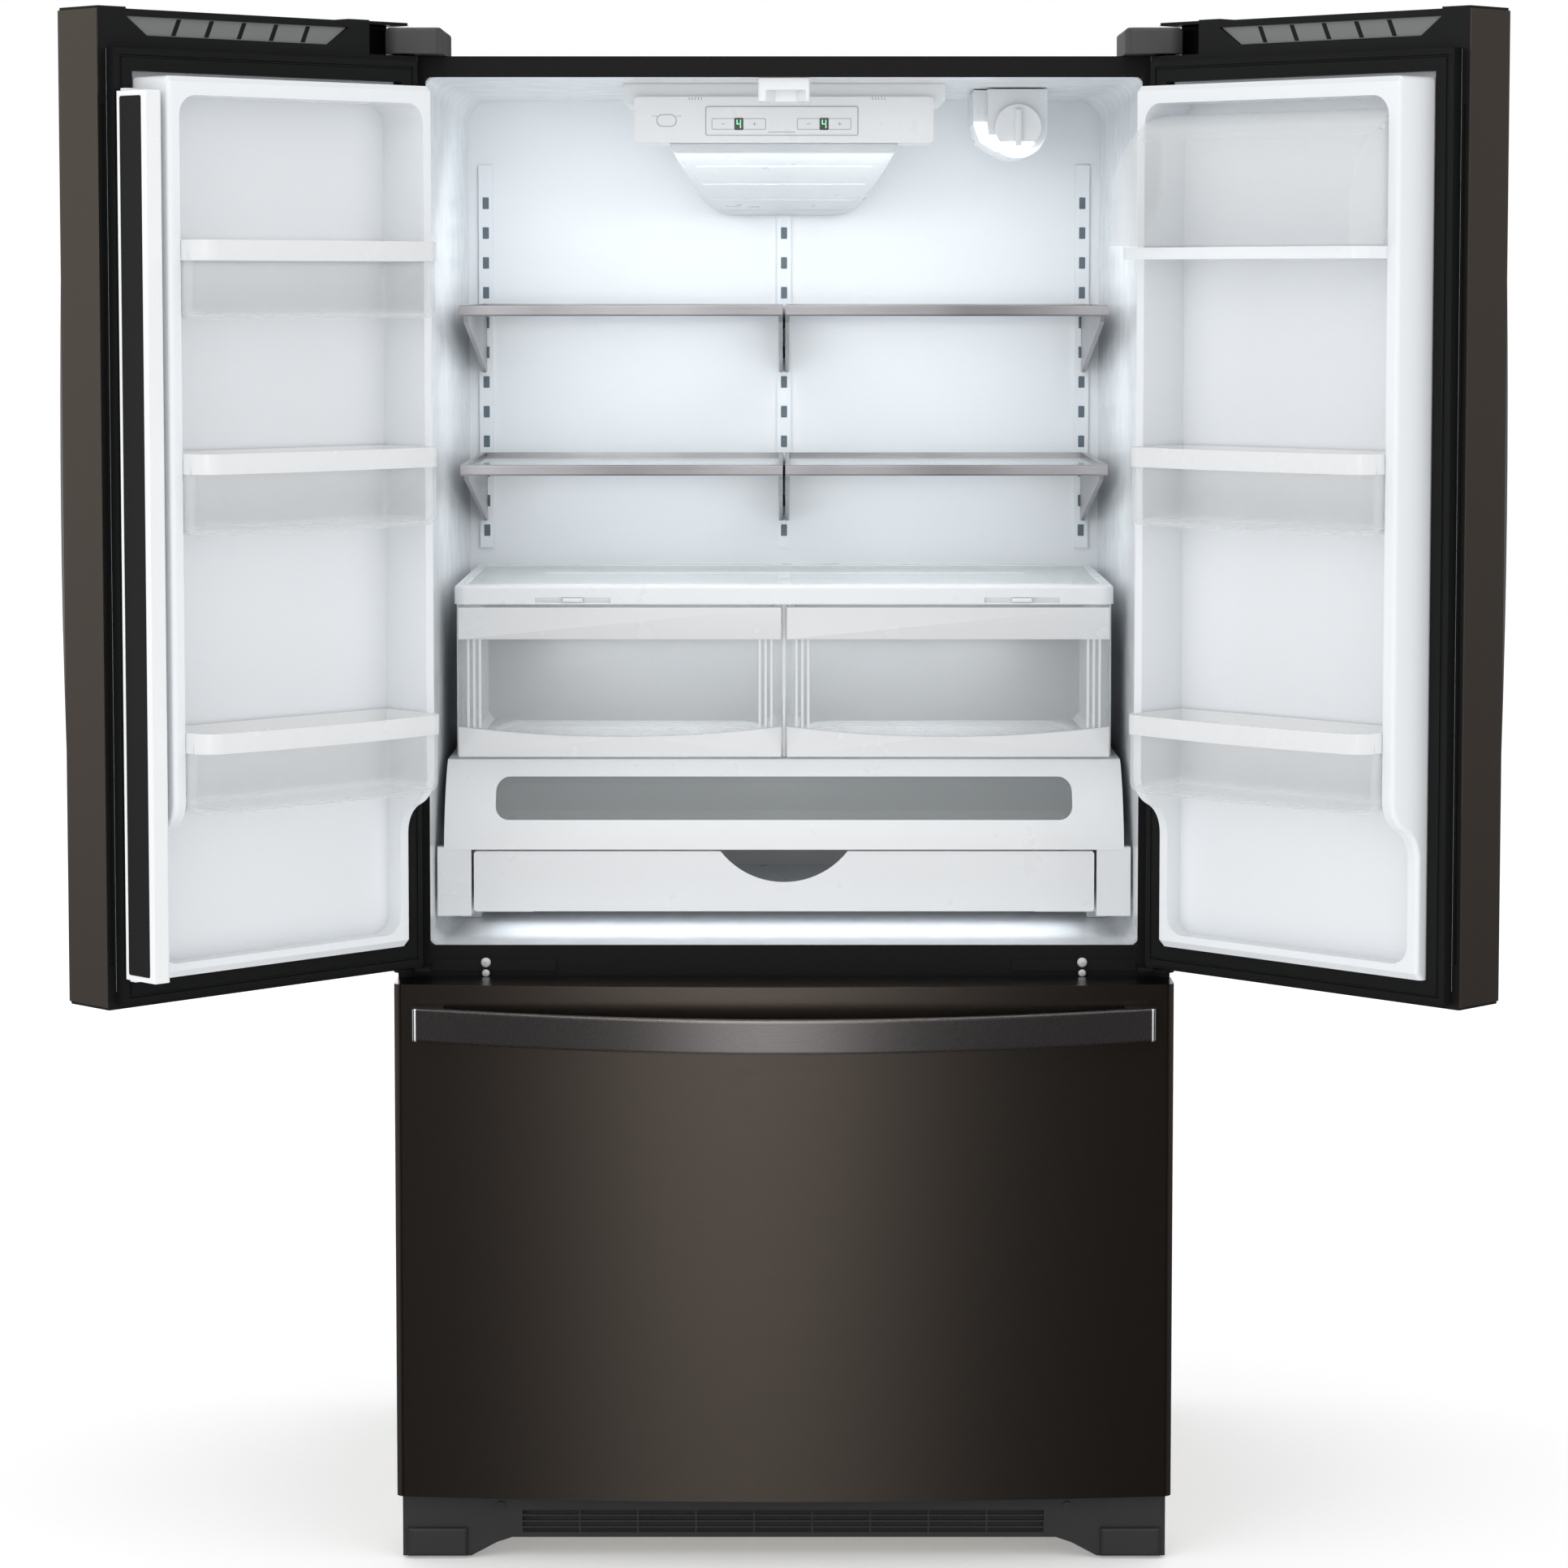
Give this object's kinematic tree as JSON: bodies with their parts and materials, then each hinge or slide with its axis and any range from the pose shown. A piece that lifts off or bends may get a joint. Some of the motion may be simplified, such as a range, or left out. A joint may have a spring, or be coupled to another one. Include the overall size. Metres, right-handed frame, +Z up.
{
  "type": "french door refrigerator",
  "caption": "Dark steel french door refrigerator with its doors open on a white interior, above a wide freezer drawer with a bowed handle.",
  "frame": {"origin": "on the floor, under the middle of the object as it rests with its doors open", "axes": "+Z up, +Y towards the wall behind the refrigerator, +X to the right as seen from the front"},
  "size_m": [1.6036, 1.1454, 1.786],
  "materials": {
    "cabinet_paint": "satin",
    "dark_steel": "satin",
    "handle_steel": "satin",
    "dark_plastic": "satin",
    "black_plastic": "matte",
    "gasket_rubber": "matte",
    "white_plastic": "gloss",
    "clear_plastic": "gloss",
    "shelf_glass": "gloss",
    "lens_plastic": "satin",
    "shelf_metal": "satin",
    "foam": "matte",
    "zinc_steel": "satin",
    "copper_and_iron": "satin",
    "button_plastic": "gloss"
  },
  "bodies": {
    "cabinet": {"cabinet_shell": "cabinet_paint", "fridge_liner": "white_plastic", "freezer_liner": "white_plastic", "cabinet_foam": "foam", "back_panel": "zinc_steel", "machine_cover": "dark_plastic", "sealed_system": "copper_and_iron", "fan_motors": "zinc_steel", "base_frame": "zinc_steel", "base_grille": "dark_plastic", "levelling_legs": "zinc_steel", "door_hinges": "zinc_steel", "hinge_covers": "dark_plastic", "control_panel": "white_plastic", "light_lens": "lens_plastic", "filter_housing": "white_plastic", "mullion_guide": "white_plastic", "shelf_frames": "shelf_metal", "shelf_glass": "shelf_glass", "crisper_cover": "white_plastic", "pantry_cover": "white_plastic", "pantry_window": "shelf_glass"},
    "left_door": {"left_door_skin": "dark_steel", "left_door_caps": "dark_plastic", "left_door_liner": "white_plastic", "left_door_gasket": "gasket_rubber", "left_door_handle": "handle_steel", "left_bin_top": "clear_plastic", "left_bin_middle": "clear_plastic", "left_bin_bottom": "clear_plastic"},
    "mullion": {"mullion_flap": "white_plastic"},
    "right_door": {"right_door_skin": "dark_steel", "right_door_caps": "dark_plastic", "right_door_liner": "white_plastic", "right_door_gasket": "gasket_rubber", "right_door_handle": "handle_steel", "right_bin_middle": "clear_plastic", "right_bin_bottom": "clear_plastic"},
    "dairy_lid": {"dairy_lid": "clear_plastic"},
    "freezer_drawer": {"freezer_front": "dark_steel", "freezer_panel": "white_plastic", "freezer_gasket": "gasket_rubber", "freezer_handle": "handle_steel", "freezer_basket": "white_plastic"},
    "upper_basket": {"upper_basket": "white_plastic"},
    "crisper_left": {"crisper_left": "clear_plastic"},
    "crisper_right": {"crisper_right": "clear_plastic"},
    "pantry_drawer": {"pantry_drawer": "white_plastic"},
    "humidity_slider_left": {"humidity_slider_left": "white_plastic"},
    "humidity_slider_right": {"humidity_slider_right": "white_plastic"},
    "freezer_minus_button": {"freezer_minus_button": "button_plastic"},
    "freezer_plus_button": {"freezer_plus_button": "button_plastic"},
    "fridge_minus_button": {"fridge_minus_button": "button_plastic"},
    "fridge_plus_button": {"fridge_plus_button": "button_plastic"},
    "alarm_button": {"alarm_button": "dark_plastic"},
    "water_filter": {"water_filter": "white_plastic"},
    "front_rollers": {"front_rollers": "black_plastic"},
    "rear_rollers": {"rear_rollers": "black_plastic"},
    "condenser_fan": {"condenser_fan": "black_plastic"},
    "evaporator_fan": {"evaporator_fan": "black_plastic"}
  },
  "joints": [
    {"name": "left_door_hinge", "type": "hinge", "parent": "cabinet", "child": "left_door", "pos_m": [-0.442, -0.188, 0.697], "axis": [0, 0, -1], "range_deg": [-135, 0]},
    {"name": "mullion_hinge", "type": "hinge", "parent": "left_door", "child": "mullion", "pos_m": [-0.70575, -0.51822, 0.733], "axis": [0, 0, 1], "range_deg": [-90, 0]},
    {"name": "right_door_hinge", "type": "hinge", "parent": "cabinet", "child": "right_door", "pos_m": [0.442, -0.188, 0.697], "axis": [0, 0, 1], "range_deg": [-135, 0]},
    {"name": "dairy_lid_hinge", "type": "hinge", "parent": "right_door", "child": "dairy_lid", "pos_m": [0.39957, -0.29548, 1.656], "axis": [-0.7071, 0.7071, 0], "range_deg": [0, 75]},
    {"name": "freezer_drawer_slide", "type": "slide", "parent": "cabinet", "child": "freezer_drawer", "axis": [0, -1, 0], "range_m": [0, 0.42]},
    {"name": "upper_basket_slide", "type": "slide", "parent": "freezer_drawer", "child": "upper_basket", "axis": [0, 1, 0], "range_m": [0, 0.15]},
    {"name": "crisper_left_slide", "type": "slide", "parent": "cabinet", "child": "crisper_left", "axis": [0, -1, 0], "range_m": [0, 0.25]},
    {"name": "crisper_right_slide", "type": "slide", "parent": "cabinet", "child": "crisper_right", "axis": [0, -1, 0], "range_m": [0, 0.25]},
    {"name": "pantry_drawer_slide", "type": "slide", "parent": "cabinet", "child": "pantry_drawer", "axis": [0, -1, 0], "range_m": [0, 0.3]},
    {"name": "humidity_left_slide", "type": "slide", "parent": "cabinet", "child": "humidity_slider_left", "axis": [1, 0, 0], "range_m": [-0.02, 0.02]},
    {"name": "humidity_right_slide", "type": "slide", "parent": "cabinet", "child": "humidity_slider_right", "axis": [1, 0, 0], "range_m": [-0.02, 0.02]},
    {"name": "freezer_minus_button_press", "type": "slide", "parent": "cabinet", "child": "freezer_minus_button", "axis": [0, 1, 0], "range_m": [0, 0.001], "stiffness_N_per_m": 600},
    {"name": "freezer_plus_button_press", "type": "slide", "parent": "cabinet", "child": "freezer_plus_button", "axis": [0, 1, 0], "range_m": [0, 0.001], "stiffness_N_per_m": 600},
    {"name": "fridge_minus_button_press", "type": "slide", "parent": "cabinet", "child": "fridge_minus_button", "axis": [0, 1, 0], "range_m": [0, 0.001], "stiffness_N_per_m": 600},
    {"name": "fridge_plus_button_press", "type": "slide", "parent": "cabinet", "child": "fridge_plus_button", "axis": [0, 1, 0], "range_m": [0, 0.001], "stiffness_N_per_m": 600},
    {"name": "alarm_button_press", "type": "slide", "parent": "cabinet", "child": "alarm_button", "axis": [0, 1, 0], "range_m": [0, 0.001], "stiffness_N_per_m": 600},
    {"name": "water_filter_turn", "type": "hinge", "parent": "cabinet", "child": "water_filter", "pos_m": [0.282, 0.082, 1.676], "axis": [0, 1, 0], "range_deg": [0, 90]},
    {"name": "front_rollers_spin", "type": "hinge", "parent": "cabinet", "child": "front_rollers", "pos_m": [0, -0.068, 0.024], "axis": [1, 0, 0], "continuous": true},
    {"name": "rear_rollers_spin", "type": "hinge", "parent": "cabinet", "child": "rear_rollers", "pos_m": [0, 0.482, 0.022], "axis": [1, 0, 0], "continuous": true},
    {"name": "condenser_fan_spin", "type": "hinge", "parent": "cabinet", "child": "condenser_fan", "pos_m": [0.09, 0.472, 0.185], "axis": [0, 1, 0], "continuous": true},
    {"name": "evaporator_fan_spin", "type": "hinge", "parent": "cabinet", "child": "evaporator_fan", "pos_m": [0, 0.294, 0.555], "axis": [0, 1, 0], "continuous": true}
  ],
  "couplings": [
    {"joint": "mullion_hinge", "follows": "left_door_hinge", "ratio": 0.66667}
  ]
}
